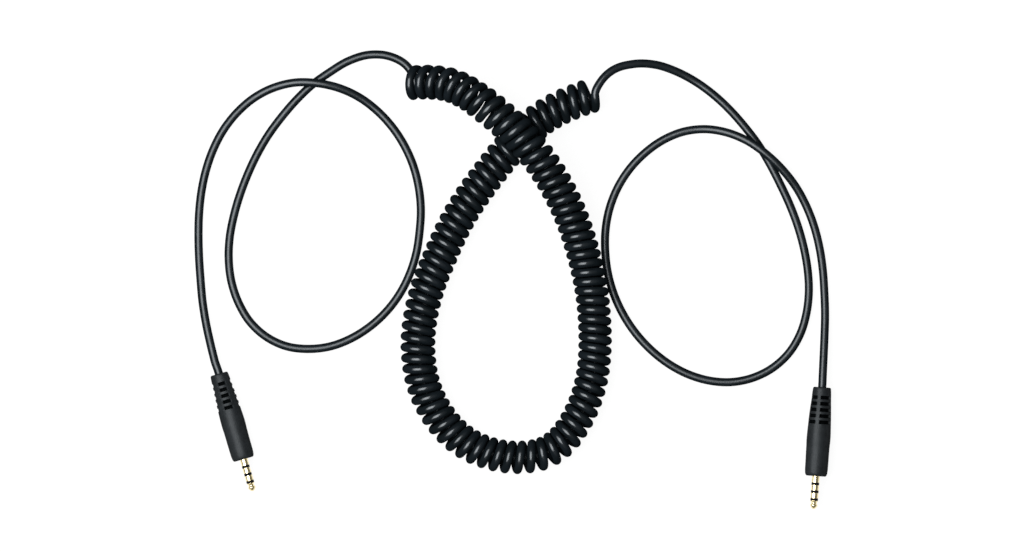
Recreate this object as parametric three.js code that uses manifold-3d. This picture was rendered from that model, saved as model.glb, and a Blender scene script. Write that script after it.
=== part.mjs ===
// Coiled audio cord with a four-pole 3.5 mm plug on each end, lying on a flat surface.
// Millimetres, +Z up. The origin is on the surface, under the middle of the whole cord's
// outline. Both plugs point roughly towards -Y; left is -X and right is +X.
import * as THREE from "three";
import Module from "manifold-3d";
import { mergeVertices } from "three/addons/utils/BufferGeometryUtils.js";

const wasm = await Module();
wasm.setup();

// ---- driving dimensions ---------------------------------------------------------------
const CORD_D = 3.8; // jacket diameter
const CORD_R = CORD_D / 2;
const CROSS_GAP = 0.35; // clearance where one strand lies over another

const COIL_OD = 16.3; // outside diameter of the coil where it is widest
const COIL_CROSSING = 58.2; // distance along the coil to the crossing on the upper arm
const COIL_CREST = 0.6; // share of the climb that is rounded over; the rest is straight
const COIL_FALL = 90; // length over which the upper arm comes down again
const STEPS_PER_TURN = 8;
const COIL_SIDES = 5;
const TANGENT_REACH = 0.5; // distance each way over which the coil's direction is taken

const LEAD_RISE = 35; // half length of the hump where a lead lies over itself
const DROP_START = 7; // where a lead starts down from its height at the coil
const DROP_LENGTH = 56;
const LEAD_STEP = 9;
const LEAD_SIDES = 6;
const LEAD_STOP = 2.5; // the lead's own line is left this far before the plug
const PLUG_ENTRY = [-0.9, 0.3]; // cord points on the plug's axis, from its rear end

// Half gaps where the cord is cut into pieces.
const COIL_GAP = 0.05;
const EXIT_GAP = 0.35;
const TAIL_GAP = 0.55;

// Distances along a plug's axis are from the shoulder, tip positive.
const PLUG_Z = 5.5; // height of the plug's axis
const HANDLE_L = 40.5;
const HANDLE_R = 5.45;
const FLEX_AT = -30.2; // where the strain relief bends
const FLEX_SLOPE = Math.tan(THREE.MathUtils.degToRad(14));
const FLEX_GAP = 0.35; // half gap between the two faces, on the axis
const CORD_SETBACK = 0.1; // cord end to the rear flex face

// ---- materials ------------------------------------------------------------------------
const standard = (settings) => new THREE.MeshStandardMaterial(settings);
const JACKET = standard({ color: 0x14171a, roughness: 0.32 });
const RUBBER = standard({ color: 0x1c1e20, roughness: 0.62 });
const GOLD = standard({ color: 0xd9b45a, roughness: 0.22, metalness: 1 });
const BRASS = standard({ color: 0xb99a55, roughness: 0.35, metalness: 1 });
const BLACK = standard({ color: 0x0d0d0f, roughness: 0.45 });
const NATURAL = standard({ color: 0xd8d4c6, roughness: 0.5 });
const WHITE_WIRE = standard({ color: 0xd8d8d4, roughness: 0.45 });
const RED_WIRE = standard({ color: 0xb3261e, roughness: 0.45 });
const GREEN_WIRE = standard({ color: 0x2c6e3a, roughness: 0.45 });
const COPPER_WIRE = standard({ color: 0xb5673a, roughness: 0.35, metalness: 0.9 });

// ---- measured lines and stations ------------------------------------------------------
// [x, y] of the coil's axis seen from above, at even distances along it.
const COIL_LINE_STEP = 9.0727;
const COIL_LINE = [
  [-47.23, 89.67], [-38.15, 90.0], [-29.14, 88.83], [-20.83, 85.16], [-13.37, 79.97], [-6.27, 74.31],
  [0.49, 68.23], [6.73, 61.62], [12.35, 54.48], [17.36, 46.91], [21.81, 39.0], [25.67, 30.77],
  [28.9, 22.29], [31.55, 13.61], [33.79, 4.81], [35.56, -4.08], [36.65, -13.1], [37.22, -22.16],
  [37.24, -31.24], [36.51, -40.29], [34.69, -49.21], [31.71, -57.81], [27.52, -65.91], [22.02, -73.23],
  [14.45, -78.43], [5.47, -80.39], [-3.68, -80.18], [-12.59, -78.09], [-20.9, -74.28], [-28.09, -68.63],
  [-33.87, -61.56], [-38.37, -53.61], [-41.41, -45.01], [-42.9, -36.02], [-43.2, -26.92], [-42.28, -17.87],
  [-40.41, -8.96], [-37.76, -0.26], [-34.29, 8.12], [-30.67, 16.44], [-26.74, 24.63], [-22.27, 32.53],
  [-17.22, 40.08], [-11.81, 47.36], [-6.25, 54.52], [-0.35, 61.42], [6.06, 67.8], [13.01, 73.53],
  [20.78, 78.07], [29.1, 81.65], [37.65, 84.7],
];

// [turn number, distance along the coil's axis]; a whole number is the top of a turn.
const TURN_STATIONS = [
  [-0.5, 0.6], [0, 2.5], [0.5, 4.8], [1, 7.2], [2, 11.95], [4, 21.49],
  [6, 30.35], [7, 34.8], [8, 39.9], [9, 45.2], [10, 50.1], [11, 54.9],
  [12, 59.5], [13, 64.5], [14, 69.71], [16, 79.45], [18, 88.78], [20, 97.9],
  [22, 106.85], [24, 115.65], [26, 124.08], [28, 132.62], [30, 141.2], [32, 149.95],
  [34, 158.52], [36, 167.29], [38, 176.05], [40, 185.22], [42, 194.57], [44, 203.97],
  [46, 213.63], [48, 223.94], [50, 234.14], [52, 243.77], [54, 253.29], [56, 262.68],
  [58, 272.17], [60, 281.38], [62, 290.32], [64, 299.39], [66, 308.55], [68, 317.71],
  [70, 327.14], [72, 336.23], [74, 344.98], [76, 353.88], [78, 363.09], [80, 372.14],
  [82, 381.24], [84, 390.38], [86, 399.84], [88, 409.25], [90, 418.63], [92, 428.05],
  [94, 437.73], [96, 447.9], [96.5, 449.6], [96.75, 451.0], [97, 453.2],
];

// [distance along the coil's axis, outside diameter]; the stretched middle is slimmer.
const COIL_SIZES = [
  [0, 15.9], [30, 16.2], [60, 16.3], [95, 16.0], [150, 15.4], [175, 15.3],
  [240, 15.3], [270, 15.8], [320, 16.1], [390, 16.1], [430, 16.3], [456, 16.3],
];

// [distance along the coil's axis, share of its slope that the turns lean by];
// the rest is shear.
const COIL_LEAN = [
  [0, 1.02], [4, 1.1], [8, 1.25], [10, 1.2], [13, 1.05], [22, 1.05],
  [28, 0.98], [36, 0.7], [46, 0.4], [60, 0], [456, 0],
];

// [x, y] of the leads seen from above, from the coil to the plug, at even distances.
const LEFT_LINE = [
  [-46.9, 96.04], [-55.22, 101.52], [-65.17, 102.47], [-74.78, 99.64], [-83.42, 94.47], [-91.59, 88.59],
  [-98.83, 81.6], [-105.38, 73.96], [-111.34, 65.84], [-116.4, 57.14], [-120.67, 48.02], [-124.23, 38.6],
  [-127.01, 28.92], [-128.85, 19.03], [-129.23, 8.97], [-127.95, -1.0], [-124.68, -10.51], [-119.47, -19.1],
  [-112.03, -25.84], [-102.93, -30.06], [-92.97, -31.25], [-83.0, -30.07], [-73.6, -26.48], [-65.1, -21.12],
  [-57.67, -14.33], [-51.59, -6.33], [-47.04, 2.64], [-44.0, 12.23], [-42.49, 22.19], [-41.92, 32.24],
  [-42.9, 42.25], [-45.37, 52.0], [-49.44, 61.2], [-54.95, 69.62], [-61.8, 76.99], [-69.83, 83.05],
  [-78.94, 87.28], [-88.75, 89.52], [-98.78, 89.85], [-108.57, 87.57], [-117.52, 83.01], [-125.17, 76.49],
  [-131.44, 68.63], [-136.16, 59.74], [-139.51, 50.25], [-141.63, 40.41], [-142.72, 30.4], [-142.99, 20.33],
  [-142.72, 10.27], [-142.05, 0.22], [-141.14, -9.81], [-139.55, -19.76], [-137.4, -29.6], [-134.97, -39.37],
];
const RIGHT_LINE = [
  [37.3, 77.7], [38.4, 87.8], [45.15, 95.35], [55.15, 98.32], [65.17, 97.84], [74.71, 94.61],
  [83.57, 89.81], [91.67, 83.81], [99.0, 76.9], [105.63, 69.3], [111.7, 61.25], [116.85, 52.59],
  [121.45, 43.61], [125.68, 34.45], [129.27, 25.03], [132.01, 15.33], [133.82, 5.41], [134.45, -4.64],
  [133.43, -14.67], [130.59, -24.32], [125.46, -32.97], [118.09, -39.81], [109.11, -44.33], [99.25, -46.32],
  [89.22, -45.66], [79.57, -42.77], [70.7, -38.02], [62.78, -31.78], [55.94, -24.39], [50.31, -16.03],
  [46.02, -6.91], [43.19, 2.75], [41.91, 12.75], [42.03, 22.82], [43.89, 32.72], [47.58, 42.09],
  [53.0, 50.58], [59.97, 57.85], [68.17, 63.68], [77.48, 67.5], [87.46, 68.64], [97.4, 67.05],
  [106.69, 63.2], [114.94, 57.42], [122.25, 50.48], [128.46, 42.55], [133.28, 33.7], [136.89, 24.29],
  [139.34, 14.51], [140.8, 4.53], [141.49, -5.53], [141.81, -15.61], [141.55, -25.69], [141.11, -35.76],
  [140.64, -45.84],
];

// [x, y, height above the resting cord's centre] between the left lead and the coil.
const LEFT_BEND = [[-48.75, 97.85, 0], [-46.95, 95.75, 0], [-45.45, 93.05, 0.15]];
const RIGHT_BEND_AT = 11.2; // distance along the right lead of its first point off the coil

// Rear end and direction of each plug seen from above, and its roll about its axis, degrees.
const PLUGS = {
  left: { rear: [-133.7, -42.49], dir: [0.2781, -0.9606], roll: 0 },
  right: { rear: [140.5, -48.65], dir: [-0.0706, -0.9975], roll: -31 },
};

// ---- curves and interpolation ---------------------------------------------------------
const vec = (x, y, z) => new THREE.Vector3(x, y, z);
const UP = vec(0, 0, 1);
const clamp01 = (value) => Math.min(Math.max(value, 0), 1);

// Uniform Catmull-Rom through rows of numbers; `at` is in rows.
function spline(rows, at) {
  const last = rows.length - 1;
  const i = Math.min(Math.max(Math.floor(at), 0), last - 1);
  const u = at - i;
  const beyond = (end, next) => end.map((value, j) => 2 * value - next[j]);
  const before = rows[i - 1] ?? beyond(rows[0], rows[1]);
  const after = rows[i + 2] ?? beyond(rows[last], rows[last - 1]);
  return rows[i].map((b, j) => {
    const [a, c, d] = [before[j], rows[i + 1][j], after[j]];
    const linear = (c - a) * u;
    const square = (2 * a - 5 * b + 4 * c - d) * u * u;
    const cube = (3 * b - a - 3 * c + d) * u * u * u;
    return 0.5 * (2 * b + linear + square + cube);
  });
}

// Straight-line interpolation in a table of [position, value].
function lookUp(table, at) {
  let k = 0;
  while (k < table.length - 2 && table[k + 1][0] <= at) k++;
  const [start, startValue] = table[k];
  const [end, endValue] = table[k + 1];
  return startValue + clamp01((at - start) / (end - start)) * (endValue - startValue);
}

function smooth(u) {
  const w = clamp01(u);
  return w * w * (3 - 2 * w);
}

const hump = (u) => (Math.abs(u) < 1 ? Math.cos((Math.PI / 2) * u) ** 2 : 0);

// Falls from 1 at u = 0 to 0 at u = 1: a rounded crest, then a straight slope.
function crestAndSlope(u) {
  const slope = 1 / (1 - COIL_CREST / 2);
  const rounded = (slope * u * u) / (2 * COIL_CREST);
  return 1 - (u < COIL_CREST ? rounded : slope * (u - COIL_CREST / 2));
}

function evenly(from, to, step) {
  const n = Math.max(1, Math.round((to - from) / step));
  return Array.from({ length: n + 1 }, (_, i) => from + ((to - from) * i) / n);
}

// ---- the coil's helix -----------------------------------------------------------------
// Radius from the coil's axis to the cord's centre; s is the distance along the coil.
const coilRadius = (s) => (lookUp(COIL_SIZES, s) - CORD_D) / 2;

function axisPoint(s) {
  const [x, y] = spline(COIL_LINE, s / COIL_LINE_STEP);
  const lift =
    s < COIL_CROSSING
      ? crestAndSlope(1 - s / COIL_CROSSING)
      : hump((s - COIL_CROSSING) / COIL_FALL);
  return vec(x, y, coilRadius(s) + CORD_R + (COIL_OD + CROSS_GAP) * lift);
}

// Left-handed: top, left side, bottom, right side, seen along the coil. The turns lean
// with the coil where its free end climbs.
function helixPoint(turn) {
  const s = lookUp(TURN_STATIONS, turn);
  const along = axisPoint(s + TANGENT_REACH).sub(axisPoint(s - TANGENT_REACH));
  along.setZ(along.z * lookUp(COIL_LEAN, s)).normalize();
  const side = UP.clone().cross(along).normalize();
  const angle = turn * 2 * Math.PI;
  const out = along.clone().cross(side).multiplyScalar(Math.cos(angle));
  out.addScaledVector(side, Math.sin(angle));
  return { centre: axisPoint(s).addScaledVector(out, coilRadius(s)), out };
}

// ---- the leads ------------------------------------------------------------------------
// Distances are along the lead, from the coil: `crossing` is where it lies over itself,
// `exit` the joint at the bend off the coil, `tail` the cut into loop and tail, and
// `riseStart` where it starts up to the plug. `startLift` is its extra height at the coil.
const LEADS = {
  left: {
    line: LEFT_LINE,
    length: 534.6,
    exit: 5.5,
    crossing: 374.6,
    tail: 411,
    riseStart: 492,
    startLift: 0,
  },
  right: {
    line: RIGHT_LINE,
    length: 545.4,
    exit: 16.4,
    crossing: 432.8,
    tail: 470,
    riseStart: 503,
    startLift: 2 * coilRadius(TURN_STATIONS.at(-1)[1]),
  },
};

function leadPoint(lead, s) {
  const [x, y] = spline(lead.line, s / (lead.length / (lead.line.length - 1)));
  const over = (CORD_D + CROSS_GAP) * hump((s - lead.crossing) / LEAD_RISE);
  const drop = lead.startLift * (1 - smooth((s - DROP_START) / DROP_LENGTH));
  const riseShare = smooth((s - lead.riseStart) / (lead.length - lead.riseStart));
  return vec(x, y, CORD_R + over + drop + (PLUG_Z - CORD_R) * riseShare);
}

const leadPoints = (lead, from, to) =>
  evenly(from, to, LEAD_STEP).map((s) => leadPoint(lead, s));
const loopPoints = (lead) => leadPoints(lead, lead.exit, lead.tail);
const tailPoints = (lead) => leadPoints(lead, lead.tail, lead.length - LEAD_STOP);

// A point on a plug's axis, at a distance from the plug's rear end.
function plugPoint(side, along) {
  const { rear, dir } = PLUGS[side];
  return vec(rear[0] + dir[0] * along, rear[1] + dir[1] * along, PLUG_Z);
}

// The strain relief's facing cones at the flex: way is 1 for the front face, -1 for the rear.
const flexFace = (radius, way) => FLEX_AT + way * (FLEX_GAP + radius * FLEX_SLOPE);
const CORD_END = HANDLE_L + flexFace(CORD_R, -1) - CORD_SETBACK;

// From the lead into the plug.
const entryPoints = (side) =>
  [...PLUG_ENTRY, CORD_END].map((along) => plugPoint(side, along));

// ---- sweeping a section along rings ---------------------------------------------------
// A ring is a centre with a tangent, a normal and a binormal.
function tangentAt(rings, i) {
  const before = rings[Math.max(i - 1, 0)].centre;
  const after = rings[Math.min(i + 1, rings.length - 1)].centre;
  return after.clone().sub(before).normalize();
}

// Turns the ring's normal as near to `direction` as its tangent allows.
function orient(ring, direction) {
  const { tangent } = ring;
  ring.normal = direction
    .clone()
    .addScaledVector(tangent, -direction.dot(tangent))
    .normalize();
  ring.binormal = tangent.clone().cross(ring.normal);
}

// A path whose cross-sections sit exactly on the given rings.
class RingPath extends THREE.Curve {
  constructor(rings) {
    super();
    this.rings = rings;
  }
  getSpacedPoints() {
    return this.rings.map((ring) => ring.centre.clone());
  }
  computeFrenetFrames() {
    return {
      tangents: this.rings.map((ring) => ring.tangent),
      normals: this.rings.map((ring) => ring.normal),
      binormals: this.rings.map((ring) => ring.binormal),
    };
  }
}

function closedShape(points) {
  const shape = new THREE.Shape(points.map(([x, y]) => new THREE.Vector2(x, y)));
  shape.closePath();
  return shape;
}

function polygon(radius, sides) {
  const angles = Array.from({ length: sides }, (_, i) => (i * 2 * Math.PI) / sides);
  return closedShape(angles.map((a) => [radius * Math.cos(a), radius * Math.sin(a)]));
}

const sweep = (rings, radius, sides) =>
  new THREE.ExtrudeGeometry(polygon(radius, sides), {
    steps: rings.length - 1,
    extrudePath: new RingPath(rings),
    curveSegments: 1,
  });

// ---- the whole cord as one line of rings, left plug to right plug ---------------------
// Turns at which the coil is cut: the free ends in short lengths, the loop in longer ones.
const LEFT_CUTS = [1.25, 4.25, 7.25, 10.25];
const RIGHT_CUTS = [92, 94, 96];
const LOOP_SECTIONS = 12;

function coilCuts() {
  const start = LEFT_CUTS.at(-1);
  const span = RIGHT_CUTS[0] - start;
  const loopCuts = Array.from({ length: LOOP_SECTIONS - 1 }, (_, i) => {
    const turn = start + (span * (i + 1)) / LOOP_SECTIONS;
    return Math.round(turn * STEPS_PER_TURN) / STEPS_PER_TURN;
  });
  return new Set([...LEFT_CUTS, ...loopCuts, ...RIGHT_CUTS]);
}

const cord = [];
const cuts = []; // ring index and half gap of each end or cut, in order along the cord
const put = (...points) => points.forEach((centre) => cord.push({ centre }));
const cutHere = (gap) => cuts.push({ index: cord.length - 1, gap });

function layLeftLead() {
  const [entry, ...restOfEntry] = entryPoints("left").reverse();
  put(entry);
  cutHere(0);
  put(...restOfEntry.reverse().reverse(), ...tailPoints(LEADS.left).reverse());
  cutHere(TAIL_GAP);
  put(...loopPoints(LEADS.left).reverse().slice(1));
  cutHere(EXIT_GAP);
  put(...LEFT_BEND.map(([x, y, lift]) => vec(x, y, CORD_R + lift)));
}

function layCoil() {
  const cutTurns = coilCuts();
  const firstStep = TURN_STATIONS[0][0] * STEPS_PER_TURN;
  const lastStep = TURN_STATIONS.at(-1)[0] * STEPS_PER_TURN;
  for (let k = firstStep; k <= lastStep; k++) {
    const turn = k / STEPS_PER_TURN;
    cord.push(helixPoint(turn));
    if (cutTurns.has(turn)) cutHere(COIL_GAP);
  }
}

function layRightLead() {
  const [exit, ...restOfLoop] = loopPoints(LEADS.right);
  put(leadPoint(LEADS.right, RIGHT_BEND_AT), exit);
  cutHere(EXIT_GAP);
  put(...restOfLoop);
  cutHere(TAIL_GAP);
  put(...tailPoints(LEADS.right).slice(1), ...entryPoints("right"));
  cutHere(0);
}

// On the coil the normal points out from its axis; elsewhere it is carried without twist.
function orientCord() {
  let direction = UP;
  cord.forEach((ring, i) => {
    ring.tangent = tangentAt(cord, i);
    orient(ring, ring.out ?? direction);
    direction = ring.normal;
  });
}

layLeftLead();
layCoil();
layRightLead();
orientCord();

// The length of cord between two cuts, drawn back from each by its gap.
function cordPiece(from, to, sides) {
  const rings = cord
    .slice(from.index, to.index + 1)
    .map((ring) => ({ ...ring, centre: ring.centre.clone() }));
  const drawBack = (end, next, gap) =>
    end.centre.addScaledVector(next.centre.clone().sub(end.centre).normalize(), gap);
  drawBack(rings[0], rings[1], from.gap);
  drawBack(rings.at(-1), rings.at(-2), to.gap);
  return sweep(rings, CORD_R, sides);
}

const cable = new THREE.Group();
function add(group, name, geometry, material) {
  const mesh = new THREE.Mesh(geometry, material);
  mesh.name = name;
  group.add(mesh);
}

// One name for each length between neighbouring cuts, in order along the cord.
const CORD_PIECES = [
  "left_lead_tail",
  "left_lead_loop",
  ...[4, 3, 2, 1].map((n) => "coil_left_end_" + n),
  ...Array.from(
    { length: LOOP_SECTIONS },
    (_, i) => "coil_loop_" + String(i + 1).padStart(2, "0"),
  ),
  ...[1, 2, 3].map((n) => "coil_right_end_" + n),
  "right_lead_loop",
  "right_lead_tail",
];
CORD_PIECES.forEach((name, i) => {
  const sides = name.startsWith("coil") ? COIL_SIDES : LEAD_SIDES;
  add(cable, name, cordPiece(cuts[i], cuts[i + 1], sides), JACKET);
});

// ---- plug geometry helpers ------------------------------------------------------------
// Profiles are [radius, distance along the axis]; the axis is local +Y, towards the tip.
const TURNED_SIDES = 12;

function turned(profile) {
  const points = profile.map(([radius, y]) => new THREE.Vector2(radius, y));
  if (profile[0][0] > 0) points.push(points[0].clone());
  // A counterclockwise profile gives faces that look outwards.
  if (THREE.ShapeUtils.area(points) < 0) points.reverse();
  return new THREE.LatheGeometry(points, TURNED_SIDES);
}

// Extrudes a shape towards the tip; its +Y starts along local -Z and is then turned.
function extrudeAlongAxis(shape, start, depth, degrees) {
  const geometry = new THREE.ExtrudeGeometry(shape, { depth, bevelEnabled: false });
  geometry.rotateX(-Math.PI / 2);
  geometry.rotateY(THREE.MathUtils.degToRad(degrees));
  geometry.translate(0, start, 0);
  return geometry;
}

function solid(geometry) {
  const bare = geometry.clone();
  bare.deleteAttribute("normal");
  bare.deleteAttribute("uv");
  const merged = mergeVertices(bare, 1e-4);
  return new wasm.Manifold(
    new wasm.Mesh({
      numProp: 3,
      vertProperties: merged.attributes.position.array,
      triVerts: new Uint32Array(merged.index.array),
    }),
  );
}

function geometryOf(manifold) {
  const mesh = manifold.getMesh();
  const geometry = new THREE.BufferGeometry();
  geometry.setAttribute("position", new THREE.BufferAttribute(mesh.vertProperties, 3));
  geometry.setIndex(new THREE.BufferAttribute(mesh.triVerts, 1));
  geometry.computeVertexNormals();
  return geometry;
}

// ---- shaft: coaxial contacts and insulators, from the outside in ----------------------
const SHAFT_R = 1.75;
const SHAFT_L = 15.0;
const BANDS = [3.5, 7.1, 10.65]; // centres of the three insulating rings
const BAND_HALF = 0.7 / 2;
const BAND_RECESS = 0.03; // insulating rings lie this far below the contacts
const FIT = 0.03; // clearance between a contact's end and the insulating ring
const COLLAR = { radius: 2.6, rear: -2.2, front: -0.05 };

// Radii of the tubes inside the shaft, and the place of their rear ends.
const TUBES = {
  sleeve: { bore: 1.46, outer: SHAFT_R, rear: -4.6 },
  ring2Insulator: { bore: 1.28, outer: 1.43, rear: -5.4 },
  ring2: { bore: 1.05, outer: 1.25, rear: -6.6 },
  ring1Insulator: { bore: 0.88, outer: 1.02, rear: -7.4 },
  ring1: { bore: 0.65, outer: 0.85, rear: -8.6 },
  tipInsulator: { bore: 0.45, outer: 0.62, rear: -9.4 },
  tip: { bore: 0, outer: 0.42, rear: -10.8 },
};

const contactStart = (band) => band + BAND_HALF + FIT;
const contactEnd = (band) => band - BAND_HALF - FIT;

// A tube with a wider head at its front end.
const headedTube = ({ bore, outer, rear }, headStart, headEnd, headRadius) =>
  turned([
    [bore, rear],
    [outer, rear],
    [outer, headStart],
    [headRadius, headStart],
    [headRadius, headEnd],
    [bore, headEnd],
  ]);
const insulator = (tube, band) =>
  headedTube(tube, band - BAND_HALF, band + BAND_HALF, SHAFT_R - BAND_RECESS);
const ringContact = (tube, bandBehind, bandAhead) =>
  headedTube(tube, contactStart(bandBehind), contactEnd(bandAhead), SHAFT_R);

function sleeveContact() {
  const { bore, outer, rear } = TUBES.sleeve;
  const front = contactEnd(BANDS[0]);
  return turned([
    [bore, rear],
    [outer, rear],
    [outer, COLLAR.rear],
    [COLLAR.radius, COLLAR.rear],
    [COLLAR.radius, COLLAR.front],
    [outer, COLLAR.front],
    [outer, front],
    [bore, front],
  ]);
}

function tipContact() {
  const { outer, rear } = TUBES.tip;
  const headStart = contactStart(BANDS[2]);
  return turned([
    [0, rear],
    [outer, rear],
    [outer, headStart],
    [SHAFT_R, headStart],
    // groove and point
    [SHAFT_R, 11.5], [1.22, 12.15], [1.22, 12.5], [1.68, 13.2],
    [1.6, 13.6], [0.95, 14.65], [0.45, SHAFT_L], [0, SHAFT_L],
  ]);
}

function addShaft(addPart) {
  const [rearBand, middleBand, frontBand] = BANDS;
  addPart("sleeve_contact", sleeveContact(), GOLD);
  addPart("ring_2_insulator", insulator(TUBES.ring2Insulator, rearBand), BLACK);
  addPart("ring_2_contact", ringContact(TUBES.ring2, rearBand, middleBand), GOLD);
  addPart("ring_1_insulator", insulator(TUBES.ring1Insulator, middleBand), BLACK);
  addPart("ring_1_contact", ringContact(TUBES.ring1, middleBand, frontBand), GOLD);
  addPart("tip_insulator", insulator(TUBES.tipInsulator, frontBand), BLACK);
  addPart("tip_contact", tipContact(), GOLD);
}

// ---- lugs and conductors, a quarter turn apart ----------------------------------------
const LUG = {
  setback: 0.2, // contact's rear end to the lug's rear face
  thickness: 0.4,
  tabHalfWidth: 0.6,
  tabReach: 2.85,
  fit: 0.04,
  arcSteps: 9,
  holeSides: 8,
};
const WIRE = { radius: 0.42, sides: 5, steps: 8, endGap: 0.06 };
// [distance from the plug's axis, distance along it]; the last radius runs on to the lug.
const WIRE_ROUTE = [[0.85, -29.3], [0.85, -22.5], [1.5, -19.0], [2.4, -15.0]];
const POLES = [
  { name: "ground", lug: "ground_clamp", tube: TUBES.sleeve, ringR: 2.25, wire: COPPER_WIRE },
  { name: "ring_2", lug: "ring_2_lug", tube: TUBES.ring2, ringR: 1.8, wire: GREEN_WIRE },
  { name: "ring_1", lug: "ring_1_lug", tube: TUBES.ring1, ringR: 1.4, wire: RED_WIRE },
  { name: "tip", lug: "tip_lug", tube: TUBES.tip, ringR: 1.0, wire: WHITE_WIRE },
];
const lugRear = (tube) => tube.rear + LUG.setback;

// A ring round the contact's tube with a tab standing out from it.
function lug({ tube, ringR }, degrees) {
  const { tabHalfWidth, tabReach, arcSteps, holeSides } = LUG;
  const tabAngle = Math.asin(tabHalfWidth / ringR);
  const arc = Array.from({ length: arcSteps + 1 }, (_, i) => {
    const angle = tabAngle + ((2 * Math.PI - 2 * tabAngle) * i) / arcSteps;
    return [ringR * Math.sin(angle), ringR * Math.cos(angle)];
  });
  const shape = closedShape([[-tabHalfWidth, tabReach], [tabHalfWidth, tabReach], ...arc]);
  // The hole's flats, not its corners, clear the tube.
  const holeR = (tube.outer + LUG.fit) / Math.cos(Math.PI / holeSides);
  shape.holes.push(polygon(holeR, holeSides));
  return extrudeAlongAxis(shape, lugRear(tube), LUG.thickness, degrees);
}

// From the cord's end to the lug's rear face.
function conductor({ tube }, degrees) {
  const angle = THREE.MathUtils.degToRad(degrees);
  const at = ([radius, y]) => vec(-radius * Math.sin(angle), y, -radius * Math.cos(angle));
  const end = [WIRE_ROUTE.at(-1)[0], lugRear(tube) - WIRE.endGap];
  const path = new THREE.CatmullRomCurve3([...WIRE_ROUTE, end].map(at));
  const rings = Array.from({ length: WIRE.steps + 1 }, (_, i) => ({
    centre: path.getPoint(i / WIRE.steps),
  }));
  rings.forEach((ring, i) => {
    const isEnd = i === 0 || i === WIRE.steps;
    ring.tangent = isEnd ? vec(0, 1, 0) : tangentAt(rings, i);
    orient(ring, at([1, 0]));
  });
  return sweep(rings, WIRE.radius, WIRE.sides);
}

function addWiring(addPart) {
  POLES.forEach((pole, i) => addPart(pole.lug, lug(pole, 90 * i), BRASS));
  POLES.forEach((pole, i) =>
    addPart(pole.name + "_conductor", conductor(pole, 90 * i), pole.wire),
  );
}

// ---- mouldings ------------------------------------------------------------------------
const BORE_R = 2.05;
const CAVITY = { radius: 3.95, rear: -22.4, front: -2.3 };
const MOUTH_R = 2.65; // opening in the handle's front, round the collar
const CUP = { fit: 0.05, front: -2.5, floor: -3.5, rear: -22.1, holeR: 1.8, innerR: 3.05 };
// Where the handle's outer radius is read for the rim of each flex face.
const FLEX_RIM_FRONT = -28.55;
const FLEX_RIM_REAR = -31.8;

// Slots: rows of four round the axis; the flex takes the place of the middle row of five.
const SLOT_PITCH = 2.8;
const FRONT_SLOTS = [1, 2].map((row) => FLEX_AT + row * SLOT_PITCH);
const REAR_SLOTS = [-2, -1].map((row) => FLEX_AT + row * SLOT_PITCH);
const SLOT = { width: 1.35, floorR: 2.95, span: 62, cutterEdgeR: 7.5, cutterMiddleR: 9 };

// [outer radius of the moulded handle, distance along the axis]
const OUTER = [
  [3.55, -HANDLE_L], [4.12, -39.9], [4.3, -37.8], [4.5, -34.4], [4.72, -31.8],
  [4.95, -28.6], [5.1, -26.2], [5.25, -22.6], [HANDLE_R, -17.6], [5.3, -14.0],
  [5.2, -2.6], [5.0, -1.0], [4.62, -0.25], [4.1, 0],
];
const OUTER_BY_PLACE = OUTER.map(([radius, y]) => [y, radius]);
const outerRadius = (y) => lookUp(OUTER_BY_PLACE, y);

// Four cutters round the axis, centred on the local X and Z directions.
function slotRow(y) {
  const half = THREE.MathUtils.degToRad(SLOT.span / 2);
  const at = (radius, angle) => [radius * Math.sin(angle), radius * Math.cos(angle)];
  const shape = closedShape([
    at(SLOT.floorR, -half),
    at(SLOT.cutterEdgeR, -half),
    at(SLOT.cutterMiddleR, 0),
    at(SLOT.cutterEdgeR, half),
    at(SLOT.floorR, half),
    at(SLOT.floorR, 0),
  ]);
  return [0, 90, 180, 270].map((degrees) =>
    solid(extrudeAlongAxis(shape, y - SLOT.width / 2, SLOT.width, degrees)),
  );
}

function slotted(geometry, rows) {
  const cutters = rows.flatMap(slotRow);
  return geometryOf(cutters.reduce((body, cutter) => body.subtract(cutter), solid(geometry)));
}

// Cup round the lugs, open at the cord's end.
function innerMould() {
  const outer = CAVITY.radius - CUP.fit;
  return turned([
    [CUP.holeR, CUP.front],
    [outer, CUP.front],
    [outer, CUP.rear],
    [CUP.innerR, CUP.rear],
    [CUP.innerR, CUP.floor],
    [CUP.holeR, CUP.floor],
  ]);
}

// The grip and the front part of the slotted strain relief.
function handle() {
  const rimY = flexFace(outerRadius(FLEX_RIM_FRONT), 1);
  const profile = [
    [BORE_R, flexFace(BORE_R, 1)],
    [outerRadius(rimY), rimY],
    ...OUTER.filter(([, y]) => y > FLEX_RIM_FRONT),
    [MOUTH_R, 0],
    [MOUTH_R, CAVITY.front],
    [CAVITY.radius, CAVITY.front],
    [CAVITY.radius, CAVITY.rear],
    [BORE_R, CAVITY.rear],
  ];
  return slotted(turned(profile), FRONT_SLOTS);
}

// The rear part of the strain relief, on the cord.
function strainRelief() {
  const rimY = flexFace(outerRadius(FLEX_RIM_REAR), -1);
  const profile = [
    [BORE_R, -HANDLE_L],
    ...OUTER.filter(([, y]) => y < FLEX_RIM_REAR),
    [outerRadius(rimY), rimY],
    [BORE_R, flexFace(BORE_R, -1)],
  ];
  return slotted(turned(profile), REAR_SLOTS);
}

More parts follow.
